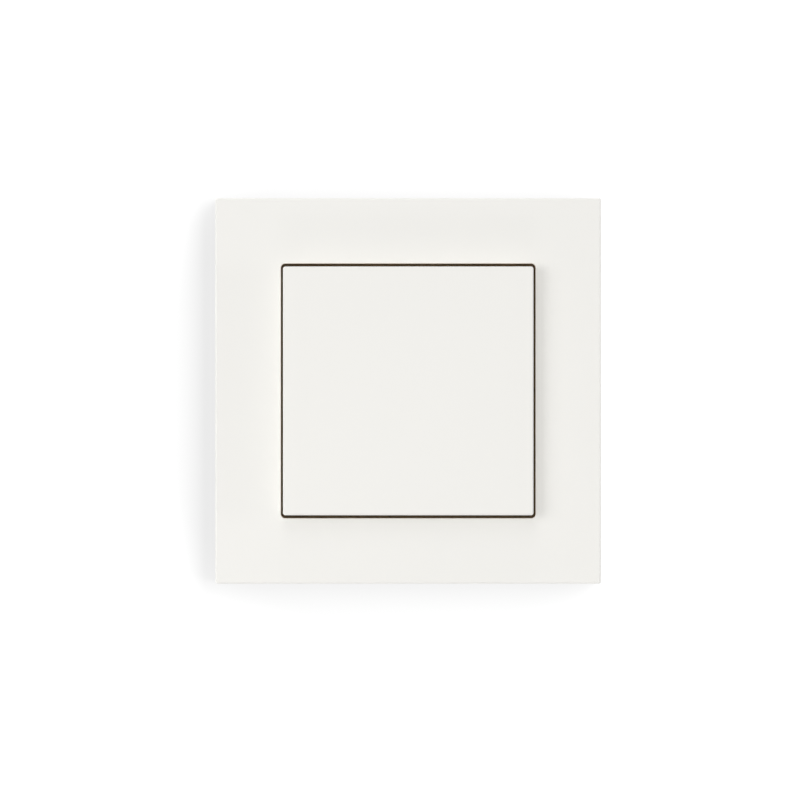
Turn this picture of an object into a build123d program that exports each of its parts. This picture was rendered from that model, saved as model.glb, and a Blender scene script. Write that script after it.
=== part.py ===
from build123d import *
from math import cos, radians, sin, sqrt
import os

# A one-gang wall switch that sends a radio signal and takes its power from the push on its rocker.
# Sizes are in millimetres. Each piece is drawn lying on its back: X is right, Y is up the wall and
# Z is the depth, counted out from the wall at 0. At the end all pieces are stood up together, so
# that +Z is up and the front faces -Y, with the origin at the centre of the base plate's back.
# A name that ends in _back or _front is a depth; a name that ends in _half is half a width.

# How far the rocker and the lever tilt each way, in degrees
tilt = 5.0
tilt_sine = sin(radians(tilt))

# Depths from the wall, from the back to the front
base_plate_thickness = 1.8
seat_height = 1.6
ledge_thickness = 1.2
ring_thickness = 1.0
tray_floor = 0.8
tray_height = 3.2
module_depth = 8.0
module_roof = 0.8
frame_back = 0.4
opening_depth = 5.0
frame_plate = 2.2
rocker_proud = 3.4
rocker_plate = 1.8

seat_front = base_plate_thickness + seat_height
ledge_front = seat_front + ledge_thickness
ring_front = ledge_front + ring_thickness
tray_back = base_plate_thickness
tray_front = tray_back + tray_floor
module_split = tray_back + tray_height
module_front = tray_back + module_depth
roof_back = module_front - module_roof
frame_front = ring_front + opening_depth
rocker_front = frame_front + rocker_proud
rocker_plate_back = rocker_front - rocker_plate

# Widths, from the module in the middle out to the frame
module_side = 40.0
module_rim = 0.6
module_rim_height = 1.0
module_wall = 1.0
module_corner = 2.0
module_edge_chamfer = 0.3
module_gap = 0.2
cup_wall = 1.2
cup_gap = 0.2
tongue_room = 0.3
tongue_flex = 0.7
tongue_thickness = 1.2
tongue_gap = 0.15
tongue_barb = 0.7
barb_height = 0.9
barb_gap = 0.05
barb_room = 0.5
tongue_width = 6.0
tongue_offset = 14.0
lip_thickness = 1.0
lip_depth = 1.0
lip_gap = 0.2
ledge_width = 1.7
collar_wall = 1.5
frame_border = 14.3
frame_wall = 2.0
frame_corner = 0.5
frame_edge_round = 0.4
opening_corner = 0.9
opening_edge_round = 0.2
ring_gap = 0.4
frame_rib_width = 1.0

module_half = module_side / 2
body_half = module_half - module_rim
room_half = body_half - module_wall
ring_bore_half = module_half + module_gap
cup_half = ring_bore_half + cup_wall
tongue_slot_half = cup_half + tongue_room
tongue_inner = tongue_slot_half + tongue_flex
tongue_outer = tongue_inner + tongue_thickness
ledge_opening_half = tongue_outer + tongue_barb + barb_room + lip_thickness + lip_gap
opening_half = ledge_opening_half + ledge_width
ring_half = opening_half - ring_gap
frame_half = opening_half + frame_border

# The rocker and its hinge
rocker_side_gap = 0.48
rocker_end_gap = 0.66
rocker_wall = 1.4
rocker_corner = 0.55
rocker_edge_round = 0.35
skirt_clearance = 0.22
rocker_rib_width = 1.0
rocker_rib_depth = 0.6
rocker_rib_offset = 12.0
trunnion_radius = 1.5
trunnion_clearance = 0.05
trunnion_length = 3.0
trunnion_chamfer = 0.4
axis_below_front = 0.8
ear_half = 3.2
ear_thickness = 1.5
arm_thickness = 1.4
arm_gap = 1.5
arm_half = 3.0
arm_foot_half = 2.2
arm_below_axis = 2.0
gusset_thickness = 0.8
gusset_length = 1.6
snap_share = 0.82
push_rib_width = 14.0
push_rib_thickness = 1.0
push_rib_gap = 0.2

rocker_half_width = opening_half - rocker_side_gap
rocker_half_height = opening_half - rocker_end_gap
skirt_back = ring_front + rocker_half_height * tilt_sine + skirt_clearance
rocker_axis = module_front - axis_below_front
push_rib_back = module_front + push_rib_gap

# The base plate and its screw holes
base_gap = 2.0
base_corner = 4.0
base_rim_width = 1.4
base_rim_height = 1.2
base_rib_width = 1.2
screw_circle = 60.0
screw_hole_radius = 2.1
screw_head_radius = 3.8
screw_head_depth = 1.0
seat_inset = 0.4
seat_width = 2.4
seat_length = 9.0
seat_offset = 17.0
glue_recess_half = 11.0
glue_recess_depth = 0.3
glue_recess_offset = 21.0
glue_recess_corner = 1.0

base_half = frame_half - frame_wall - base_gap
base_rim_inner = base_half - base_rim_width
base_rim_front = base_plate_thickness + base_rim_height

# The generator: lever, magnet block and core
leg_thickness = 1.4
leg_width = 2.8
core_corner = 1.0
leg_gap = 0.5
pole_clearance = 0.055
pole_thickness = 0.8
pole_floor_clearance = 0.35
pole_width = 5.0
pole_left = -1.0
pole_overhang = 0.4
magnet_half = 3.0
magnet_gap = 0.1
carrier_wall = 1.0
carrier_depth_gap = 0.05
bar_width = 2.6
bar_rise = 2.1
hub_half = 3.0
slot_start = 9.0
slot_gap = 0.5
pad_gap = 0.1
pad_inner_gap = 0.6
pad_thickness = 2.0
pad_half = 8.0
pad_depth = 1.6
lever_clearance = 0.2
stub_radius = 1.2
stub_clearance = 0.05
stub_overhang = 0.3
post_gap = 0.7
post_thickness = 1.8
post_half = 2.4
post_above_axis = 2.1

carrier_half = magnet_half + magnet_gap + carrier_wall
leg_inner = carrier_half + leg_gap
leg_outer = leg_inner + leg_width
pole_gap = leg_thickness + 2 * (leg_outer * tilt_sine + pole_clearance)
lever_axis = tray_front + pole_floor_clearance + leg_outer * tilt_sine + pole_thickness + pole_gap / 2
pole_right = pole_left + pole_width
bar_left = pole_right + magnet_gap
bar_right = bar_left + bar_width
bar_front = lever_axis + bar_rise
carrier_left = pole_left - magnet_gap - carrier_wall
pad_inner = module_half + pad_inner_gap
pad_outer = pad_inner + pad_thickness
pad_front = push_rib_back - pad_gap
arm_end_back = ring_front + pad_outer * tilt_sine + lever_clearance
right_post_left = bar_right + post_gap
right_post_right = right_post_left + post_thickness
left_post_right = carrier_left - post_gap
left_post_left = left_post_right - post_thickness

# The leaf spring, an arch under the lever's hub
spring_thickness = 0.3
spring_rise = 1.45
spring_gap = 0.3
spring_side_gap = 0.2
spring_top_half = 3.2
spring_foot_start = 7.0
spring_reach = 9.0

spring_top_back = tray_front + spring_rise
hub_back = spring_top_back + spring_thickness + spring_gap

# The coil on the core's yoke
coil_wall_gap = 0.4
flange_half = 4.4
flange_half_depth = 2.35
flange_thickness = 0.6
flange_gap = 0.3
bobbin_gap = 0.1
bobbin_wall = 0.5
winding_half = 4.1
winding_half_depth = 2.15
winding_corner = 1.2
terminal_length = 1.4
terminal_height = 1.2
terminal_width = 1.4
terminal_margin = 0.5
pin_radius = 0.3
pin_clearance = 0.02
pin_board_clearance = 0.1
pin_end_gap = 0.1

coil_x = -room_half + coil_wall_gap + flange_half
flange_outer = leg_inner - flange_gap
flange_inner = flange_outer - flange_thickness
terminal_x = coil_x + flange_half + terminal_length / 2
terminal_y = flange_outer - terminal_width / 2

# The circuit board and what stands on it
board_thickness = 0.8
board_gap = 0.2
board_corner = 1.2
window_gap = 0.6
window_corner = 1.0
peg_radius = 0.8
peg_clearance = 0.1
peg_inset = 2.8
peg_height = 0.5
seat_post_gap = 0.2
seat_post_length = 1.6
chip_side = 6.0
chip_height = 0.9
chip_chamfer = 0.15
chip_y = 3.0
crystal_length = 3.2
crystal_width = 2.5
crystal_height = 0.7
crystal_gap = 1.15
capacitor_length = 7.3
capacitor_width = 4.3
capacitor_height = 2.9
capacitor_chamfer = 0.35
capacitor_x = -5.0
inductor_side = 3.0
inductor_height = 1.2
rectifier_length = 2.4
rectifier_width = 4.0
rectifier_height = 1.0
rectifier_gap = 2.3
resistor_count = 5
resistor_pitch = 1.0
resistor_width = 0.5
resistor_length = 1.0
resistor_height = 0.5
resistor_gap = 1.5
antenna_thickness = 0.4
antenna_height = 1.6
antenna_inset = 1.2
antenna_corner = 1.5
antenna_drop = 5.0
dome_radius = 1.6
dome_chamfer = 0.35
dome_base = 4.0
dome_base_thickness = 0.5
dome_clearance = 0.1

board_back = tray_front
board_front = board_back + board_thickness
board_half = room_half - board_gap
window_left = terminal_x + terminal_length / 2 + terminal_margin
window_right = right_post_right + window_gap
window_half = spring_reach + window_gap
strip_x = (window_right + board_half) / 2
strip_y = (window_half + board_half) / 2
peg_half = board_half - peg_inset
dome_x = (bar_left + bar_right) / 2

# The hooks that close the module and the catches that hold it in the ring
hook_offset = 12.0
hook_width = 4.0
hook_thickness = 0.9
hook_gap = 0.1
hook_length = 1.4
hook_barb = 0.5
hook_barb_height = 0.6
catch_width = 5.0
catch_reach = 0.6

# How far a cutting shape runs past what it cuts, and the draft of the deep mouldings in degrees
past = 1.0
moulding_draft = 1.0


def slab(half_x, half_y, back, front, corner=0.0, x=0.0, y=0.0, taper=0.0):
    """A plate between two depths, with its centre at x, y. A taper narrows it towards the front."""
    if corner:
        outline = RectangleRounded(2 * half_x, 2 * half_y, corner)
    else:
        outline = Rectangle(2 * half_x, 2 * half_y)
    return extrude(Pos(x, y, back) * outline, amount=front - back, taper=taper)


def span(left, right, low, high, back, front):
    """A block between two sides, two heights and two depths."""
    half_x = (right - left) / 2
    half_y = (high - low) / 2
    return slab(half_x, half_y, back, front, x=left + half_x, y=low + half_y)


def side_profile(points, left, right):
    """A closed outline of height and depth, seen from the side and run from left to right."""
    plane = Plane(origin=(left, 0, 0), x_dir=(0, 1, 0), z_dir=(1, 0, 0))
    return extrude(plane * make_face(Polyline(*points, close=True)), amount=right - left)


def front_profile(points, low, high):
    """A closed outline of width and depth, run from a low to a high place up the wall."""
    plane = Plane(origin=(0, low, 0), x_dir=(1, 0, 0), z_dir=(0, -1, 0))
    return extrude(plane * make_face(Polyline(*points, close=True)), amount=low - high)


def rod(radius, left, right, y, depth):
    """A round bar along X."""
    plane = Plane(origin=(left, y, depth), z_dir=(1, 0, 0))
    return extrude(plane * Circle(radius), amount=right - left)


def peg(radius, x, y, back, front):
    """A round bar along the depth."""
    return extrude(Pos(x, y, back) * Circle(radius), amount=front - back)


def on_four_sides(piece, offsets=(0.0,)):
    """Copies of a piece drawn at the +Y side, turned to all four sides and shifted along each."""
    return [Rot(0, 0, 90 * side) * Pos(offset, 0, 0) * piece for side in range(4) for offset in offsets]


def at_left_and_right(piece, offsets=(0.0,)):
    """Copies of a piece drawn at the +X side, at both sides and shifted up and down."""
    return [Rot(0, 0, turn) * Pos(0, offset, 0) * piece for turn in (0, 180) for offset in offsets]


def front_edges(solid):
    """The edges round the front face of a solid."""
    return solid.faces().sort_by(Axis.Z)[-1].outer_wire().edges()


def make_cover_frame():
    """The square frame: a front plate with outer walls, and a collar that ends in the clamped ledge."""
    body = slab(frame_half, frame_half, frame_back, frame_front, frame_corner)
    body = fillet(front_edges(body), frame_edge_round)
    inner = frame_half - frame_wall
    plate_back = frame_front - frame_plate
    body -= slab(inner, inner, frame_back, plate_back, taper=moulding_draft)
    collar = opening_half + collar_wall
    body += slab(collar, collar, seat_front, plate_back, opening_corner + collar_wall)
    rib = side_profile(
        [(collar, ledge_front), (inner, base_rim_front + frame_back),
         (inner, plate_back), (collar, plate_back)],
        -frame_rib_width / 2, frame_rib_width / 2,
    )
    body += on_four_sides(rib, (-seat_offset, 0, seat_offset))
    body -= slab(opening_half, opening_half, ledge_front, frame_front + past, opening_corner)
    body -= slab(ledge_opening_half, ledge_opening_half, seat_front - past, frame_front, opening_corner)
    front = body.faces().sort_by(Axis.Z)[-1]
    return fillet(front.inner_wires().edges(), opening_edge_round)


def make_base_plate():
    """The plate on the wall, with its rim, ribs, frame seats, snap tongues and countersunk holes.

    Four shallow recesses in its back take glue pads, where the plate isn't screwed on.
    """
    body = slab(base_half, base_half, 0, base_rim_front, base_corner)
    body -= slab(
        base_rim_inner, base_rim_inner, base_plate_thickness, base_rim_front + past,
        base_corner - base_rim_width,
    )
    seat_low = ledge_opening_half + seat_inset
    seat = span(
        -seat_length / 2, seat_length / 2, seat_low, seat_low + seat_width,
        base_plate_thickness, seat_front,
    )
    half_rib = base_rib_width / 2
    seat_rib = span(-half_rib, half_rib, seat_low, base_rim_inner, base_plate_thickness, base_rim_front)
    corner_rib = span(
        -half_rib, half_rib, sqrt(2) * cup_half, sqrt(2) * base_rim_inner,
        base_plate_thickness, base_rim_front,
    )
    barb_back = ring_front + barb_gap
    tip = tongue_outer - tongue_thickness / 2
    tongue = side_profile(
        [(tongue_inner, base_plate_thickness), (tongue_outer, base_plate_thickness),
         (tongue_outer, barb_back), (tongue_outer + tongue_barb, barb_back),
         (tip, barb_back + barb_height), (tongue_inner, barb_back + barb_height)],
        -tongue_width / 2, tongue_width / 2,
    )
    body += on_four_sides(seat + seat_rib, (-seat_offset, seat_offset))
    body += [Rot(0, 0, 45) * rib for rib in on_four_sides(corner_rib)]
    body += on_four_sides(tongue, (-tongue_offset, tongue_offset))
    sink_back = base_plate_thickness - screw_head_depth
    hole = peg(screw_hole_radius, 0, screw_circle / 2, -past, base_plate_thickness + past)
    sink = loft([
        Pos(0, screw_circle / 2, sink_back) * Circle(screw_hole_radius),
        Pos(0, screw_circle / 2, base_plate_thickness) * Circle(screw_head_radius),
    ])
    glue_recess = slab(
        glue_recess_half, glue_recess_half, -past, glue_recess_depth, glue_recess_corner,
        x=glue_recess_offset, y=glue_recess_offset,
    )
    body -= on_four_sides(glue_recess)
    body -= on_four_sides(hole)
    return body - on_four_sides(sink)


def make_clamp_ring():
    """The ring that snaps on the tongues, presses on the frame's ledge and cups the module."""
    cup_back = base_plate_thickness + cup_gap
    lip_back = ledge_front - lip_depth
    lip_half = ledge_opening_half - lip_gap
    lip_inner = lip_half - lip_thickness
    body = slab(ring_half, ring_half, ledge_front, ring_front, opening_corner)
    cup = slab(cup_half, cup_half, cup_back, ledge_front, module_corner + cup_wall)
    lip = slab(lip_half, lip_half, lip_back, ledge_front, opening_corner)
    lip -= slab(lip_inner, lip_inner, lip_back, ledge_front, opening_corner)
    body = body + cup + lip
    body -= slab(ring_bore_half, ring_bore_half, cup_back - past, ring_front + past, module_corner)
    slot = span(
        -tongue_width / 2 - tongue_gap, tongue_width / 2 + tongue_gap,
        tongue_slot_half, tongue_outer + tongue_gap, ledge_front - past, ring_front + past,
    )
    body -= on_four_sides(slot, (-tongue_offset, tongue_offset))
    catch_back = module_split + barb_gap
    catch = span(
        ring_bore_half - catch_reach, ring_bore_half + catch_reach,
        -catch_width / 2, catch_width / 2, catch_back, ring_front,
    )
    return body + at_left_and_right(catch, (-hook_offset, hook_offset))


def make_bearing_post(left, right):
    """A post with a round seat for the lever's stub, open at the front through a snap slot."""
    bore = stub_radius + stub_clearance
    post = span(left, right, -post_half, post_half, tray_front, lever_axis + post_above_axis)
    post -= rod(bore, left - past, right + past, 0, lever_axis)
    mouth = bore * snap_share
    return post - side_profile(
        [(-mouth, lever_axis), (mouth, lever_axis),
         (bore, lever_axis + post_above_axis), (-bore, lever_axis + post_above_axis)],
        left - past, right + past,
    )


def make_module_base():
    """The tray of the module: walls with a rim, bearing posts, core seats and board pegs."""
    body = slab(body_half, body_half, tray_back, module_split, module_corner)
    rim_back = module_split - module_rim_height
    body += slab(module_half, module_half, rim_back, module_split, module_corner)
    body -= slab(room_half, room_half, tray_front, module_split + past, module_corner - module_wall)
    body += make_bearing_post(left_post_left, left_post_right)
    body += make_bearing_post(right_post_left, right_post_right)
    seat_left = window_left + seat_post_gap
    seat_top = lever_axis - leg_thickness / 2
    for side in (-1, 1):
        low, high = sorted((side * leg_inner, side * leg_outer))
        body += span(seat_left, seat_left + seat_post_length, low, high, tray_front, seat_top)
        body += peg(peg_radius, side * peg_half, -side * peg_half, tray_front, board_front + peg_height)
    window_back = module_split - hook_length - hook_gap
    window = span(
        room_half - past, module_half + past, -hook_width / 2 - hook_gap, hook_width / 2 + hook_gap,
        window_back, window_back + hook_barb_height + 2 * hook_gap,
    )
    return body - at_left_and_right(window, (-hook_offset, hook_offset))


def make_module_cover():
    """The front shell of the module, with trunnions for the rocker and slots for the lever's arms."""
    body = slab(body_half, body_half, module_split, module_front, module_corner)
    body = chamfer(front_edges(body), module_edge_chamfer)
    body -= slab(room_half, room_half, module_split - past, roof_back, module_corner - module_wall)
    ear_front = rocker_axis + trunnion_radius + trunnion_clearance
    ear = span(body_half - ear_thickness, body_half, -ear_half, ear_half, module_split, ear_front)
    pin = rod(trunnion_radius, body_half, body_half + trunnion_length, 0, rocker_axis)
    pin = chamfer(pin.faces().sort_by(Axis.X)[-1].edges(), trunnion_chamfer)
    hook_front = module_split
    hook_back = module_split - hook_length
    hook_outer = room_half - hook_gap
    hook = span(
        hook_outer - hook_thickness, hook_outer, -hook_width / 2, hook_width / 2,
        hook_back, hook_front + past,
    )
    hook += span(
        hook_outer, hook_outer + hook_barb, -hook_width / 2, hook_width / 2,
        hook_back, hook_back + hook_barb_height,
    )
    hook += span(
        hook_outer - hook_thickness, room_half + hook_gap, -hook_width / 2, hook_width / 2,
        hook_front, hook_front + past,
    )
    body += at_left_and_right(ear + pin)
    body += at_left_and_right(hook, (-hook_offset, hook_offset))
    clamp_left = window_left + seat_post_gap
    for side in (-1, 1):
        low, high = sorted((side * leg_inner, side * leg_outer))
        clamp_back = lever_axis + leg_thickness / 2
        body += span(clamp_left, clamp_left + seat_post_length, low, high, clamp_back, roof_back)
        low, high = sorted((side * slot_start, side * (body_half + past)))
        body -= span(
            bar_left - slot_gap, bar_right + slot_gap, low, high,
            module_split - past, module_front + past,
        )
    return body


def make_hinge_arm():
    """One arm under the rocker with a snap hole that turns on a trunnion, and the gussets on its outer
    side, drawn at the +X side."""
    left = body_half + arm_gap
    right = left + arm_thickness
    bore = trunnion_radius + trunnion_clearance
    arm_back = rocker_axis - arm_below_axis
    arm = side_profile(
        [(-arm_half, rocker_plate_back), (-arm_half, rocker_axis), (-arm_foot_half, arm_back),
         (arm_foot_half, arm_back), (arm_half, rocker_axis), (arm_half, rocker_plate_back)],
        left, right,
    )
    arm -= rod(bore, left - past, right + past, 0, rocker_axis)
    mouth = bore * snap_share
    arm -= side_profile(
        [(-mouth, rocker_axis), (mouth, rocker_axis),
         (mouth, arm_back - past), (-mouth, arm_back - past)],
        left - past, right + past,
    )
    gusset_back = rocker_plate_back - gusset_length
    gusset = front_profile(
        [(right, gusset_back), (right, rocker_plate_back), (right + gusset_length, rocker_plate_back)],
        -gusset_thickness / 2, gusset_thickness / 2,
    )
    gusset_y = arm_half - gusset_thickness / 2
    return arm + [Pos(0, side * gusset_y, 0) * gusset for side in (-1, 1)]


def make_rocker():
    """The square rocker: a flat plate with a skirt, low ribs, two hinge arms and two push ribs."""
    body = slab(rocker_half_width, rocker_half_height, skirt_back, rocker_front, rocker_corner)
    body = fillet(front_edges(body), rocker_edge_round)
    inner_x = rocker_half_width - rocker_wall
    inner_y = rocker_half_height - rocker_wall
    body -= slab(inner_x, inner_y, skirt_back, rocker_plate_back, taper=moulding_draft)
    rib_back = rocker_plate_back - rocker_rib_depth
    rib_half = module_half - 2 * module_corner
    for offset in (-rocker_rib_offset, rocker_rib_offset):
        body += slab(rocker_rib_width / 2, rib_half, rib_back, rocker_plate_back, x=offset)
        body += slab(rib_half, rocker_rib_width / 2, rib_back, rocker_plate_back, y=offset)
    push_y = (pad_inner + pad_outer) / 2
    for side in (-1, 1):
        body += slab(
            push_rib_width / 2, push_rib_thickness / 2, push_rib_back, rocker_plate_back, y=side * push_y,
        )
    return body + at_left_and_right(make_hinge_arm())


def make_drive_lever():
    """The see-saw lever: a tapered bar with a pad at each end, a carrier for the magnet and two stubs."""
    pad_back = pad_front - pad_depth
    half_outline = [
        (hub_half, hub_back), (pad_inner, arm_end_back), (pad_outer, pad_back), (pad_outer, pad_front),
        (pad_inner, pad_front), (slot_start, bar_front),
    ]
    outline = half_outline + [(-y, depth) for y, depth in reversed(half_outline)]
    body = side_profile(outline, bar_left, bar_right)
    for side in (-1, 1):
        low, high = sorted((side * pad_inner, side * pad_outer))
        body += span(-pad_half, pad_half, low, high, pad_back, pad_front)
    carrier_back = lever_axis - pole_gap / 2 + carrier_depth_gap
    carrier_front = lever_axis + pole_gap / 2 - carrier_depth_gap
    carrier = span(carrier_left, bar_left, -carrier_half, carrier_half, carrier_back, carrier_front)
    pocket = magnet_half + magnet_gap
    carrier -= span(pole_left - magnet_gap, bar_left, -pocket, pocket, carrier_back, carrier_front)
    body += carrier
    body += rod(stub_radius, bar_right, right_post_right + stub_overhang, 0, lever_axis)
    return body + rod(stub_radius, left_post_left - stub_overhang, carrier_left, 0, lever_axis)


def make_magnet():
    """The magnet between the two pole plates."""
    back = lever_axis - pole_gap / 2
    return span(pole_left, pole_right, -magnet_half, magnet_half, back, back + pole_gap)


def make_pole_plate(side):
    """The pole plate in front of the magnet for a side of 1, and behind it for -1."""
    near = lever_axis + side * pole_gap / 2
    back, front = sorted((near, near + side * pole_thickness))
    return span(pole_left, pole_right, -leg_outer, leg_outer, back, front)


def make_u_core():
    """The stamped U of soft iron: a yoke through the coil and two legs between the pole plates."""
    back = lever_axis - leg_thickness / 2
    front = lever_axis + leg_thickness / 2
    left = coil_x - leg_width / 2
    right = pole_right - pole_overhang
    body = span(left, right, -leg_outer, leg_outer, back, front)
    body = fillet(body.edges().filter_by(Axis.Z).group_by(Axis.X)[0], core_corner)
    return body - span(left + leg_width, right + past, -leg_inner, leg_inner, back - past, front + past)


def make_coil_bobbin():
    """The bobbin on the yoke: a square tube, two flanges and two lugs for the terminal pins."""
    tube_x = leg_width / 2 + bobbin_gap
    tube_depth = leg_thickness / 2 + bobbin_gap
    wall = bobbin_wall
    body = span(
        coil_x - tube_x - wall, coil_x + tube_x + wall, -flange_outer, flange_outer,
        lever_axis - tube_depth - wall, lever_axis + tube_depth + wall,
    )
    flange_back = lever_axis - flange_half_depth
    for side in (-1, 1):
        low, high = sorted((side * flange_inner, side * flange_outer))
        body += span(
            coil_x - flange_half, coil_x + flange_half, low, high,
            flange_back, lever_axis + flange_half_depth,
        )
        lug = span(
            coil_x + flange_half, terminal_x + terminal_length / 2,
            -terminal_width / 2, terminal_width / 2, flange_back, flange_back + terminal_height,
        )
        body += Pos(0, side * terminal_y, 0) * lug
        body -= peg(
            pin_radius + pin_clearance, terminal_x, side * terminal_y,
            flange_back - past, flange_back + terminal_height + past,
        )
    return body - span(
        coil_x - tube_x, coil_x + tube_x, -flange_outer - past, flange_outer + past,
        lever_axis - tube_depth, lever_axis + tube_depth,
    )


def make_coil_winding():
    """The wound copper as one body with round corners, between the bobbin's flanges."""
    plane = Plane(origin=(coil_x, -flange_inner, lever_axis), x_dir=(1, 0, 0), z_dir=(0, 1, 0))
    outer = RectangleRounded(2 * winding_half, 2 * winding_half_depth, winding_corner)
    inner_x = leg_width + 2 * (bobbin_gap + bobbin_wall)
    inner_depth = leg_thickness + 2 * (bobbin_gap + bobbin_wall)
    return extrude(plane * (outer - Rectangle(inner_x, inner_depth)), amount=2 * flange_inner)


def make_coil_pins():
    """The two pins that carry the coil's ends down to the board."""
    back = board_back + pin_end_gap
    front = lever_axis - flange_half_depth + terminal_height
    pins = [peg(pin_radius, terminal_x, side * terminal_y, back, front) for side in (-1, 1)]
    return Part() + pins


def make_return_leaf_spring():
    """The arched leaf under the lever's hub: the flat hub rocks on the flat top and is pushed level."""
    lift = spring_thickness
    half_top = [
        (spring_top_half, spring_top_back + lift), (spring_foot_start, tray_front + lift),
        (spring_reach, tray_front + lift),
    ]
    half_back = [(y, depth - lift) for y, depth in half_top]
    outline = half_top + half_back[::-1]
    outline += [(-y, depth) for y, depth in half_back] + [(-y, depth) for y, depth in half_top[::-1]]
    return side_profile(outline, bar_left + spring_side_gap, bar_right - spring_side_gap)


def make_circuit_board():
    """The board on the tray's floor, with a window for the magnet block, posts and spring."""
    board = slab(board_half, board_half, board_back, board_front, board_corner)
    window_x = (window_left + window_right) / 2
    board -= slab(
        (window_right - window_left) / 2, window_half, board_back - past, board_front + past,
        window_corner, x=window_x,
    )
    for side in (-1, 1):
        holes = (
            (peg_radius + peg_clearance, side * peg_half, -side * peg_half),
            (pin_radius + pin_board_clearance, terminal_x, side * terminal_y),
        )
        for radius, x, y in holes:
            board -= peg(radius, x, y, board_back - past, board_front + past)
    return board


def make_radio_chip():
    """The radio chip on the board's right-hand strip."""
    chip = slab(chip_side / 2, chip_side / 2, board_front, board_front + chip_height, x=strip_x, y=chip_y)
    return chamfer(front_edges(chip), chip_chamfer)


def make_storage_capacitor():
    """The moulded capacitor that stores the push's energy."""
    body = slab(
        capacitor_length / 2, capacitor_width / 2, board_front, board_front + capacitor_height,
        x=capacitor_x, y=strip_y,
    )
    return chamfer(front_edges(body), capacitor_chamfer)


def make_board_part(length, width, height, x, y):
    """A plain block on the board, with its length along X."""
    return slab(length / 2, width / 2, board_front, board_front + height, x=x, y=y)


def make_board_components():
    """A crystal, an inductor, a rectifier and a row of small resistors on the board."""
    crystal_y = chip_y + (chip_side + crystal_width) / 2 + crystal_gap
    rectifier_x = capacitor_x - (inductor_side + rectifier_length) / 2 - rectifier_gap
    resistor_y = chip_y - (chip_side + resistor_length) / 2 - resistor_gap
    blocks = [
        make_board_part(crystal_length, crystal_width, crystal_height, strip_x, crystal_y),
        make_board_part(inductor_side, inductor_side, inductor_height, capacitor_x, -strip_y),
        make_board_part(rectifier_length, rectifier_width, rectifier_height, rectifier_x, -strip_y),
    ]
    for step in range(resistor_count):
        x = strip_x + (step - (resistor_count - 1) / 2) * resistor_pitch
        blocks.append(make_board_part(resistor_width, resistor_length, resistor_height, x, resistor_y))
    return Part() + blocks


def make_antenna():
    """The bent strip aerial that stands on the board along its top edge and down its right side."""
    reach = board_half - antenna_inset
    inner = reach - antenna_thickness
    front = board_front + antenna_height
    strip = slab(reach, reach, board_front, front, antenna_corner)
    strip -= slab(inner, inner, board_front, front, antenna_corner - antenna_thickness)
    return strip & span(antenna_corner - reach, reach, reach - antenna_drop, reach, board_front, front)


def make_contact_domes():
    """Two rubber domes on the board, each just under the lever's arm when that end is pushed."""
    slope = (arm_end_back - hub_back) / (pad_inner - hub_half)
    dome_inner = strip_y - dome_radius
    rest_back = hub_back + slope * (dome_inner - hub_half)
    pressed_back = lever_axis + (rest_back - lever_axis) * cos(radians(tilt)) - dome_inner * tilt_sine
    dome_front = pressed_back - dome_clearance
    domes = []
    for side in (-1, 1):
        base = slab(
            dome_base / 2, dome_base / 2, board_front, board_front + dome_base_thickness,
            x=dome_x, y=side * strip_y,
        )
        button = peg(dome_radius, dome_x, side * strip_y, board_front, dome_front)
        domes.append(base + chamfer(front_edges(button), dome_chamfer))
    return Part() + domes


pieces = {
    "cover_frame": make_cover_frame(),
    "base_plate": make_base_plate(),
    "clamp_ring": make_clamp_ring(),
    "module_base": make_module_base(),
    "module_cover": make_module_cover(),
    "rocker": make_rocker(),
    "drive_lever": make_drive_lever(),
    "magnet": make_magnet(),
    "front_pole_plate": make_pole_plate(1),
    "rear_pole_plate": make_pole_plate(-1),
    "u_core": make_u_core(),
    "coil_bobbin": make_coil_bobbin(),
    "coil_winding": make_coil_winding(),
    "coil_pins": make_coil_pins(),
    "return_leaf_spring": make_return_leaf_spring(),
    "circuit_board": make_circuit_board(),
    "radio_chip": make_radio_chip(),
    "storage_capacitor": make_storage_capacitor(),
    "board_components": make_board_components(),
    "antenna": make_antenna(),
    "contact_domes": make_contact_domes(),
}

os.makedirs("parts", exist_ok=True)
stand_up = Rot(90, 0, 0)
for name, piece in pieces.items():
    export_step(stand_up * piece, f"parts/{name}.step")
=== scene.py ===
import math

import bpy
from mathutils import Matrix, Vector


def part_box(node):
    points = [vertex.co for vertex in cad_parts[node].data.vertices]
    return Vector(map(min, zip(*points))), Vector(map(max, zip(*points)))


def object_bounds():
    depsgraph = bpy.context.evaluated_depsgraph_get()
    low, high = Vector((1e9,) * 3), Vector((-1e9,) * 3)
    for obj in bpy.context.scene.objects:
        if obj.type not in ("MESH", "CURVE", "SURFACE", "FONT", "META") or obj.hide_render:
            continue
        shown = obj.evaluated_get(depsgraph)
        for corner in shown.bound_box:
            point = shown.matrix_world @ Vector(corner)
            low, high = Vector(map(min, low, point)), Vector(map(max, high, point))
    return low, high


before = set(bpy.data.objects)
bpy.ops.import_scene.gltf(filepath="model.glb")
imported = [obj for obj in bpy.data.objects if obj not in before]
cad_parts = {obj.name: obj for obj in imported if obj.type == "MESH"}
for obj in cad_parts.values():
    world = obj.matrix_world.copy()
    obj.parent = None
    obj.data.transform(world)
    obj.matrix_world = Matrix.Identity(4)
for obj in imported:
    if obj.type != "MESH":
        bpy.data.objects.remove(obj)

cad_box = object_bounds()

# The photograph is 800 pixels square. The switch's frame is about 386 pixels wide in it, a little right
# of the middle and a little above it.
PHOTO_PIXELS = 800
FRAME_PIXELS = 385.7
FRAME_CENTRE = (408.2, 390.9)

# The camera's distance from the wall and its nearest seen point, in metres, and its sensor in millimetres
CAMERA_DISTANCE = 1.5
CAMERA_CLIP = 0.01
SENSOR_WIDTH = 36.0


def frame_measures():
    """The frame's width and its front plane, read from the model."""
    low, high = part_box("cover_frame")
    return high[0] - low[0], low[1]


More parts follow.
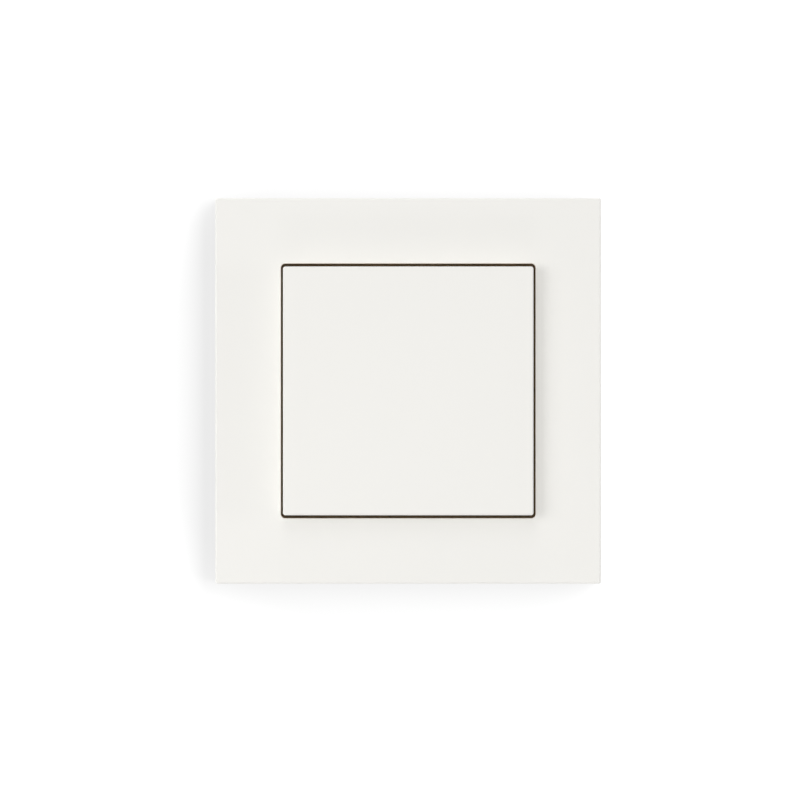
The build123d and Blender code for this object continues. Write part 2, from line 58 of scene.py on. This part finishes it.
frame_width, frame_front = frame_measures()
pixel = frame_width / FRAME_PIXELS


def aim(thing, target):
    """Turns a camera or lamp so that it looks at a point."""
    thing.rotation_euler = (Vector(target) - thing.location).to_track_quat("-Z", "Y").to_euler()


def make_camera():
    """A long lens straight in front, set off a little so that the frame lies as in the photograph."""
    data = bpy.data.cameras.new("camera")
    camera = bpy.data.objects.new("camera", data)
    bpy.context.scene.collection.objects.link(camera)
    off_x = -(FRAME_CENTRE[0] - PHOTO_PIXELS / 2) * pixel
    off_z = (FRAME_CENTRE[1] - PHOTO_PIXELS / 2) * pixel
    camera.location = (off_x, -CAMERA_DISTANCE, off_z)
    aim(camera, (off_x, 0, off_z))
    data.sensor_width = SENSOR_WIDTH
    data.lens = SENSOR_WIDTH * FRAME_PIXELS / PHOTO_PIXELS * (CAMERA_DISTANCE + frame_front) / frame_width
    data.clip_start = CAMERA_CLIP
    bpy.context.scene.camera = camera


def node_tree(material):
    """An empty node tree for a material, with its output node."""
    material.use_nodes = True
    tree = material.node_tree
    tree.nodes.clear()
    return tree, tree.nodes.new("ShaderNodeOutputMaterial")


def add(tree, kind, **values):
    """A node with its properties and input values set by name."""
    node = tree.nodes.new(kind)
    for key, value in values.items():
        if hasattr(node, key):
            setattr(node, key, value)
        else:
            node.inputs[key.replace("_", " ")].default_value = value
    return node


def inside_square(tree, axes, half):
    """1 where a point seen from the front lies in a square round the middle, and 0 elsewhere."""
    link = tree.links.new
    furthest = add(tree, "ShaderNodeMath", operation="MAXIMUM")
    for index, axis in enumerate("XZ"):
        size = add(tree, "ShaderNodeMath", operation="ABSOLUTE")
        link(axes.outputs[axis], size.inputs[0])
        link(size.outputs["Value"], furthest.inputs[index])
    inside = add(tree, "ShaderNodeMath", operation="LESS_THAN")
    inside.inputs[1].default_value = half
    link(furthest.outputs["Value"], inside.inputs[0])
    return inside


# Painted shade and painted bounce light in the narrow gap round the rocker. Just below the frame's front,
# the wall of the opening is painted cream, standing in for light that turns warmer as it bounces down the
# gap. Deeper down, the wall and the ledge behind it are painted brown, standing in for the gap's shade.
# The stops go by the share of the depth behind the frame's front, and they end before the ledge's back.
# They hold inside a square that reaches this far past the rocker's side, over the wall of the opening.
COLLAR_REACH = 0.0006
COLLAR_DEPTH = 0.0068
UNTINTED = (1.0, 1.0, 1.0)
PAINTED_BOUNCE_CREAM = (0.80, 0.58, 0.34)
PAINTED_SHADE_BROWN = (0.44, 0.25, 0.08)
COLLAR_PAINTED_SHADE_STOPS = (
    (0.0, UNTINTED), (0.035, PAINTED_BOUNCE_CREAM), (0.06, PAINTED_BOUNCE_CREAM), (0.16, PAINTED_SHADE_BROWN), (0.97, PAINTED_SHADE_BROWN),
    (1.0, UNTINTED),
)


def paint_opening_shade(tree, place, colour):
    """The colour, with painted bounce light and painted shade down the wall of the frame's opening and on
    the ledge behind it.
    """
    link = tree.links.new
    axes = add(tree, "ShaderNodeSeparateXYZ")
    link(place.outputs["Object"], axes.inputs["Vector"])
    depth = add(tree, "ShaderNodeMapRange", From_Min=frame_front, From_Max=frame_front + COLLAR_DEPTH)
    link(axes.outputs["Y"], depth.inputs["Value"])
    shade_ramp = add(tree, "ShaderNodeValToRGB")
    stops = shade_ramp.color_ramp.elements
    while len(stops) < len(COLLAR_PAINTED_SHADE_STOPS):
        stops.new(0.5)
    for stop, (share, tint) in zip(stops, COLLAR_PAINTED_SHADE_STOPS):
        stop.position = share
        stop.color = (*tint, 1)
    link(depth.outputs["Result"], shade_ramp.inputs["Fac"])
    inside = inside_square(tree, axes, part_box("rocker")[1][0] + COLLAR_REACH)
    shaded_colour = add(tree, "ShaderNodeMixRGB", blend_type="MULTIPLY")
    link(inside.outputs["Value"], shaded_colour.inputs["Fac"])
    link(colour, shaded_colour.inputs["Color1"])
    link(shade_ramp.outputs["Color"], shaded_colour.inputs["Color2"])
    return shaded_colour.outputs["Color"]


# Round marks that ejector pins leave in the base plate's back. A place holds the larger and the smaller
# of a mark's distances from the plate's two middle lines, so the first stands for four marks between
# the glue recesses, the second for four at the corners, and the third for one in the middle.
EJECTOR_PLACES = ((0.0205, 0.0), (0.0345, 0.0345), (0.0, 0.0))
EJECTOR_RADIUS = 0.0017
EJECTOR_EDGE = 0.0003
EJECTOR_DEPTH = 0.00025


def ejector_marks(tree, place):
    """The height left by ejector pins: 0 in their round marks and 1 elsewhere."""
    link = tree.links.new
    size = add(tree, "ShaderNodeVectorMath", operation="ABSOLUTE")
    axes = add(tree, "ShaderNodeSeparateXYZ")
    link(place.outputs["Object"], size.inputs[0])
    link(size.outputs["Vector"], axes.inputs["Vector"])
    folded = add(tree, "ShaderNodeCombineXYZ")
    for operation, axis in (("MAXIMUM", "X"), ("MINIMUM", "Y")):
        pick = add(tree, "ShaderNodeMath", operation=operation)
        link(axes.outputs["X"], pick.inputs[0])
        link(axes.outputs["Z"], pick.inputs[1])
        link(pick.outputs["Value"], folded.inputs[axis])
    nearest = None
    for centre in EJECTOR_PLACES:
        reach = add(tree, "ShaderNodeVectorMath", operation="DISTANCE")
        reach.inputs[1].default_value = (*centre, 0.0)
        link(folded.outputs["Vector"], reach.inputs[0])
        if nearest is None:
            nearest = reach
            continue
        closer = add(tree, "ShaderNodeMath", operation="MINIMUM")
        link(nearest.outputs["Value"], closer.inputs[0])
        link(reach.outputs["Value"], closer.inputs[1])
        nearest = closer
    height = add(tree, "ShaderNodeMapRange", interpolation_type="SMOOTHSTEP",
                 From_Min=EJECTOR_RADIUS - EJECTOR_EDGE, From_Max=EJECTOR_RADIUS)
    link(nearest.outputs["Value"], height.inputs["Value"])
    return height.outputs["Result"]


# The coil's turns, and the length of one wave of Blender's band texture at a scale of 1
WIRE_PITCH = 0.00016
WIRE_RELIEF = 0.00003
BAND_LENGTH = math.pi / 10


def wire_turns(tree, place):
    """The height of the coil's turns, wound about the Z axis."""
    wave = add(tree, "ShaderNodeTexWave", wave_type="BANDS", bands_direction="Z",
               Scale=BAND_LENGTH / WIRE_PITCH)
    tree.links.new(place.outputs["Object"], wave.inputs["Vector"])
    return wave.outputs["Fac"]


def add_relief(tree, place, shader, relief, depth):
    """Puts a form of the given depth under the shader's own surface."""
    form = add(tree, "ShaderNodeBump", Strength=1.0, Distance=depth)
    tree.links.new(relief(tree, place), form.inputs["Height"])
    own = shader.inputs["Normal"]
    if own.is_linked:
        tree.links.new(form.outputs["Normal"], own.links[0].from_node.inputs["Normal"])
    else:
        tree.links.new(form.outputs["Normal"], own)


# The noises are counted per metre. A roughness wanders by a step in plastic, and by a share in metal.
DRIFT_SCALE = 18.0
STREAK_SCALE = 900.0
WEAVE_SCALE = 1200.0
GRAIN_DEPTH = 0.0001
PLASTIC_SPREAD = 0.05
METAL_SPREAD = 0.2


def uneven_gloss(tree, noise, roughness, spread):
    """A roughness that wanders with the noise, by the spread to each side."""
    gloss = add(tree, "ShaderNodeMapRange", To_Min=roughness - spread, To_Max=roughness + spread)
    tree.links.new(noise.outputs["Fac"], gloss.inputs["Value"])
    return gloss.outputs["Result"]


def moulded_plastic(name, colour, roughness, grain=0.04, grain_size=0.0004, tint=0.015, has_painted_gap_shade=False,
                    has_marks=False):
    """Moulded plastic: a faint colour drift, and fine spark-eroded texture in the bump and the gloss. For
    the frame, also painted shade and painted bounce light down the wall of its opening.
    """
    material = bpy.data.materials.new(name)
    tree, output = node_tree(material)
    link = tree.links.new
    place = add(tree, "ShaderNodeTexCoord")
    drift = add(tree, "ShaderNodeTexNoise", Scale=DRIFT_SCALE, Detail=2.0)
    fine = add(tree, "ShaderNodeTexNoise", Scale=1.0 / grain_size, Detail=3.0, Roughness=0.6)
    link(place.outputs["Object"], drift.inputs["Vector"])
    link(place.outputs["Object"], fine.inputs["Vector"])
    ramp = add(tree, "ShaderNodeValToRGB")
    dark = [channel * (1 - tint) for channel in colour]
    light = [min(1.0, channel * (1 + tint)) for channel in colour]
    ramp.color_ramp.elements[0].color = (*dark, 1)
    ramp.color_ramp.elements[1].color = (*light, 1)
    link(drift.outputs["Fac"], ramp.inputs["Fac"])
    bump = add(tree, "ShaderNodeBump", Strength=grain, Distance=GRAIN_DEPTH)
    link(fine.outputs["Fac"], bump.inputs["Height"])
    shader = add(tree, "ShaderNodeBsdfPrincipled")
    surface = ramp.outputs["Color"]
    # The frame's opening gets painted shade and painted bounce light down its wall.
    if has_painted_gap_shade:
        surface = paint_opening_shade(tree, place, surface)
    link(surface, shader.inputs["Base Color"])
    link(uneven_gloss(tree, fine, roughness, PLASTIC_SPREAD), shader.inputs["Roughness"])
    link(bump.outputs["Normal"], shader.inputs["Normal"])
    if has_marks:
        add_relief(tree, place, shader, ejector_marks, EJECTOR_DEPTH)
    link(shader.outputs["BSDF"], output.inputs["Surface"])
    return material


def metal(name, colour, roughness, streak=(1.0, 1.0, 1.0), has_turns=False):
    """Stamped or plated metal, with fine streaks in its roughness."""
    material = bpy.data.materials.new(name)
    tree, output = node_tree(material)
    link = tree.links.new
    place = add(tree, "ShaderNodeTexCoord")
    stretch = add(tree, "ShaderNodeMapping", Scale=streak)
    noise = add(tree, "ShaderNodeTexNoise", Scale=STREAK_SCALE, Detail=3.0)
    link(place.outputs["Object"], stretch.inputs["Vector"])
    link(stretch.outputs["Vector"], noise.inputs["Vector"])
    shader = add(tree, "ShaderNodeBsdfPrincipled", Base_Color=(*colour, 1), Metallic=1.0)
    link(uneven_gloss(tree, noise, roughness, METAL_SPREAD * roughness), shader.inputs["Roughness"])
    if has_turns:
        add_relief(tree, place, shader, wire_turns, WIRE_RELIEF)
    link(shader.outputs["BSDF"], output.inputs["Surface"])
    return material


# The board's copper tracks show through its solder mask, in rows joined by short cross tracks.
TRACK_ROW = 0.0016
TRACK_LENGTH = 0.0052
TRACK_SHARE = 0.09
MASK_COLOUR = (0.016, 0.10, 0.042)
TRACK_COLOUR = (0.05, 0.20, 0.075)


def board_laminate(name, roughness):
    """Green solder mask over copper tracks, which show as a paler green."""
    material = bpy.data.materials.new(name)
    tree, output = node_tree(material)
    link = tree.links.new
    place = add(tree, "ShaderNodeTexCoord")
    turned = add(tree, "ShaderNodeMapping", Rotation=(math.pi / 2, 0, 0))
    link(place.outputs["Object"], turned.inputs["Vector"])
    tracks = add(tree, "ShaderNodeTexBrick", Scale=1.0, Color1=(*MASK_COLOUR, 1), Color2=(*MASK_COLOUR, 1),
                 Mortar=(*TRACK_COLOUR, 1), Mortar_Size=TRACK_ROW * TRACK_SHARE, Mortar_Smooth=0.1,
                 Brick_Width=TRACK_LENGTH, Row_Height=TRACK_ROW)
    link(turned.outputs["Vector"], tracks.inputs["Vector"])
    weave = add(tree, "ShaderNodeTexNoise", Scale=WEAVE_SCALE, Detail=2.0)
    link(place.outputs["Object"], weave.inputs["Vector"])
    shader = add(tree, "ShaderNodeBsdfPrincipled")
    link(tracks.outputs["Color"], shader.inputs["Base Color"])
    link(uneven_gloss(tree, weave, roughness, PLASTIC_SPREAD), shader.inputs["Roughness"])
    link(shader.outputs["BSDF"], output.inputs["Surface"])
    return material


def dress(node, material):
    """Gives a node of the frame its material."""
    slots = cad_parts[node].material_slots
    for slot in slots:
        slot.material = material


def make_materials():
    """One material for each kind of stuff, and every node dressed."""
    white = (0.885, 0.874, 0.838)
    rocker_white = moulded_plastic("rocker_plastic", white, 0.42)
    # The frame's plastic carries painted shade and painted bounce light down the wall of its opening.
    frame_white = moulded_plastic("frame_plastic", white, 0.42, has_painted_gap_shade=True)
    carrier = moulded_plastic("carrier_plastic", (0.045, 0.040, 0.034), 0.5, grain=0.15, grain_size=0.0006,
                              has_marks=True)
    # The clamp_ring's dark brown is painted shade for the bottom of the gap round the rocker.
    gap_shade_ring = moulded_plastic("ring_plastic_painted_shade", (0.075, 0.046, 0.020), 0.6)
    shell = moulded_plastic("module_plastic", (0.05, 0.052, 0.055), 0.5)
    black = moulded_plastic("lever_plastic", (0.02, 0.02, 0.02), 0.45)
    board = board_laminate("board_laminate", 0.3)
    yellow = moulded_plastic("capacitor_plastic", (0.55, 0.33, 0.05), 0.4)
    rubber = moulded_plastic("dome_rubber", (0.03, 0.03, 0.03), 0.7)
    iron = metal("core_iron", (0.42, 0.42, 0.42), 0.4, (0.1, 1.0, 4.0))
    nickel = metal("magnet_nickel", (0.66, 0.64, 0.6), 0.2)
    tin = metal("tinned_metal", (0.72, 0.72, 0.7), 0.25)
    steel = metal("spring_steel", (0.55, 0.55, 0.55), 0.3, (1.0, 1.0, 0.1))
    copper = metal("copper_wire", (0.72, 0.32, 0.16), 0.35, (1.0, 1.0, 8.0), has_turns=True)
    dressing = {
        "cover_frame": frame_white, "rocker": rocker_white,
        "base_plate": carrier, "clamp_ring": gap_shade_ring,
        "module_base": shell, "module_cover": shell,
        "drive_lever": black, "coil_bobbin": black,
        "circuit_board": board, "radio_chip": black, "board_components": black,
        "storage_capacitor": yellow, "contact_domes": rubber,
        "magnet": nickel, "u_core": iron, "front_pole_plate": iron, "rear_pole_plate": iron,
        "coil_pins": tin, "antenna": tin, "return_leaf_spring": steel, "coil_winding": copper,
    }
    for node, material in dressing.items():
        dress(node, material)


def share_seen(tree, path):
    """1 for rays that show the backdrop, which are the camera's and those of gloss and glass."""
    seen = path.outputs["Is Camera Ray"]
    for kind in ("Is Glossy Ray", "Is Transmission Ray"):
        either = add(tree, "ShaderNodeMath", operation="MAXIMUM")
        tree.links.new(seen, either.inputs[0])
        tree.links.new(path.outputs[kind], either.inputs[1])
        seen = either.outputs["Value"]
    return seen


# The wall round the switch. Seen by the camera it gives off WALL_BASE of white by itself near the
# switch and all of it further out, and its own lamp adds the rest wherever the switch casts no shadow.
# WALL_BOUNCE is what it gives off to light the switch. Lengths are in metres.
WALL_HALF = 0.35
WALL_GAP = 0.0002
WALL_BASE = 0.80
WALL_ALBEDO = 0.05
WALL_BOUNCE = 0.85
WALL_SHADE_END = 0.052
WALL_WHITE_START = 0.078


def wall_light(tree, path, place):
    """The wall's own light, which the camera sees turn white away from the switch."""
    link = tree.links.new
    distance = add(tree, "ShaderNodeVectorMath", operation="LENGTH")
    link(place.outputs["Position"], distance.inputs[0])
    glow = add(tree, "ShaderNodeMapRange", interpolation_type="SMOOTHSTEP",
               From_Min=WALL_SHADE_END, From_Max=WALL_WHITE_START, To_Min=WALL_BASE)
    link(distance.outputs["Value"], glow.inputs["Value"])
    strength = add(tree, "ShaderNodeMapRange", To_Min=WALL_BOUNCE)
    link(share_seen(tree, path), strength.inputs["Value"])
    link(glow.outputs["Result"], strength.inputs["To Max"])
    light = add(tree, "ShaderNodeEmission")
    link(strength.outputs["Result"], light.inputs["Strength"])
    return light.outputs["Emission"]


def share_clear(tree, path, place):
    """1 where the wall lets light through, from behind and behind the switch, and 0 elsewhere."""
    link = tree.links.new
    axes = add(tree, "ShaderNodeSeparateXYZ")
    link(place.outputs["Position"], axes.inputs["Vector"])
    behind_switch = inside_square(tree, axes, frame_width / 2)
    covered = add(tree, "ShaderNodeMath", operation="SUBTRACT", use_clamp=True)
    link(behind_switch.outputs["Value"], covered.inputs[0])
    link(path.outputs["Is Camera Ray"], covered.inputs[1])
    clear = add(tree, "ShaderNodeMath", operation="MAXIMUM")
    link(place.outputs["Backfacing"], clear.inputs[0])
    link(covered.outputs["Value"], clear.inputs[1])
    return clear.outputs["Value"]


def wall_paint(name):
    """White paint that gives off light by itself, and takes a shadow from its own lamp."""
    material = bpy.data.materials.new(name)
    material.cycles.emission_sampling = "NONE"
    tree, output = node_tree(material)
    link = tree.links.new
    path = add(tree, "ShaderNodeLightPath")
    place = add(tree, "ShaderNodeNewGeometry")
    paint = add(tree, "ShaderNodeBsdfDiffuse", Color=(WALL_ALBEDO, WALL_ALBEDO, WALL_ALBEDO, 1))
    front = add(tree, "ShaderNodeAddShader")
    link(wall_light(tree, path, place), front.inputs[0])
    link(paint.outputs["BSDF"], front.inputs[1])
    opening = add(tree, "ShaderNodeBsdfTransparent")
    wall = add(tree, "ShaderNodeMixShader")
    link(share_clear(tree, path, place), wall.inputs[0])
    link(front.outputs["Shader"], wall.inputs[1])
    link(opening.outputs["BSDF"], wall.inputs[2])
    link(wall.outputs["Shader"], output.inputs["Surface"])
    return material


def make_wall():
    """A pale wall behind the switch."""
    mesh = bpy.data.meshes.new("wall")
    y = cad_box[1][1] + WALL_GAP
    w = WALL_HALF
    mesh.from_pydata([(-w, y, -w), (w, y, -w), (w, y, w), (-w, y, w)], [], [(0, 1, 2, 3)])
    mesh.materials.append(wall_paint("wall_paint"))
    wall = bpy.data.objects.new("wall", mesh)
    bpy.context.scene.collection.objects.link(wall)
    return wall


def form_factor(direction, size, steps=16):
    """The share of full white light that a lamp of radiance 1 lays on a surface facing it squarely."""
    total = 0.0
    for i in range(steps):
        for j in range(steps):
            across = direction[0] + size[0] * ((i + 0.5) / steps - 0.5)
            up = direction[1] + size[1] * ((j + 0.5) / steps - 0.5)
            total += 1 / (1 + across ** 2 + up ** 2) ** 2
    return total / steps ** 2 * size[0] * size[1] / math.pi


def area_lamp(name, direction, size, distance, level, receivers, side=-1):
    """A rectangular lamp that faces the wall squarely, placed and sized by tangents from the normal.

    The level is the share of a full white level that it lays on a surface that faces it squarely at the
    middle of the wall. The side is -1 for a lamp in front of the wall and 1 for one behind it.
    """
    data = bpy.data.lights.new(name, "AREA")
    data.shape = "RECTANGLE"
    data.size = size[0] * distance
    data.size_y = size[1] * distance
    lamp = bpy.data.objects.new(name, data)
    bpy.context.scene.collection.objects.link(lamp)
    lamp.location = (direction[0] * distance, side * distance, direction[1] * distance)
    aim(lamp, lamp.location - Vector((0, side, 0)))
    # A lamp's power over its area and pi is its radiance.
    data.energy = level / form_factor(direction, size) * math.pi * data.size * data.size_y
    lamp.visible_camera = False
    lamp.light_linking.receiver_collection = receivers


# Each lamp for the switch: where it stands and how large it is, as tangents from the wall's normal,
# how far off it is in metres, and the share of a full white level that it lays on the front.
SWITCH_LAMPS = {
    "front_lamp": ((0.0, 0.0), (0.3, 0.3), 1.6, 0.131),
    "left_lamp": ((-1.3, 0.1), (1.4, 1.0), 1.2, 0.235),
    "upper_lamp": ((-0.2, 1.9), (0.8, 2.2), 2.0, 0.09),
    "top_lamp": ((0.0, 7.0), (1.5, 1.5), 0.3, 0.011),
    "right_lamp": ((6.0, 0.0), (1.5, 1.5), 0.25, 0.025),
    "lower_lamp": ((0.0, -3.0), (1.2, 1.0), 0.13, 0.038),
}
# The lamp that only shades the wall, and the lamps behind the switch, in the same form
WALL_LAMP = ((0.52, 0.22), (0.64, 1.07), 1.0, 0.20)
BACK_LAMPS = {
    "back_lamp_0": ((-0.35, 0.3), (0.6, 0.6), 0.8, 0.16),
    "back_lamp_1": ((0.35, 0.3), (0.6, 0.6), 0.8, 0.16),
}
# The studio's strength as a light, and as the backdrop that is seen
STUDIO_LEVEL = 0.425
BACKDROP_LEVEL = 1.0


def make_lamps(wall):
    """The lamps for the switch, and the one for the wall's shadow alone."""
    wall_only = bpy.data.collections.new("wall_only")
    wall_only.objects.link(wall)
    not_wall = bpy.data.collections.new("not_wall")
    not_wall.objects.link(wall)
    not_wall.collection_objects[0].light_linking.link_state = "EXCLUDE"
    for name, lamp in SWITCH_LAMPS.items():
        area_lamp(name, *lamp, not_wall)
    for name, lamp in BACK_LAMPS.items():
        area_lamp(name, *lamp, not_wall, side=1)
    direction, size, distance, level = WALL_LAMP
    area_lamp("wall_lamp", direction, size, distance, level / WALL_ALBEDO, wall_only)


def make_world():
    """A plain white studio, weaker as a light than it is seen."""
    world = bpy.data.worlds.new("studio")
    bpy.context.scene.world = world
    world.use_nodes = True
    tree = world.node_tree
    tree.nodes.clear()
    output = tree.nodes.new("ShaderNodeOutputWorld")
    path = add(tree, "ShaderNodeLightPath")
    strength = add(tree, "ShaderNodeMapRange", To_Min=STUDIO_LEVEL, To_Max=BACKDROP_LEVEL)
    background = add(tree, "ShaderNodeBackground", Color=(1, 1, 1, 1))
    tree.links.new(share_seen(tree, path), strength.inputs["Value"])
    tree.links.new(strength.outputs["Result"], background.inputs["Strength"])
    tree.links.new(background.outputs["Background"], output.inputs["Surface"])


make_camera()
make_world()
make_materials()
make_lamps(make_wall())
bpy.context.scene.view_settings.view_transform = "Standard"
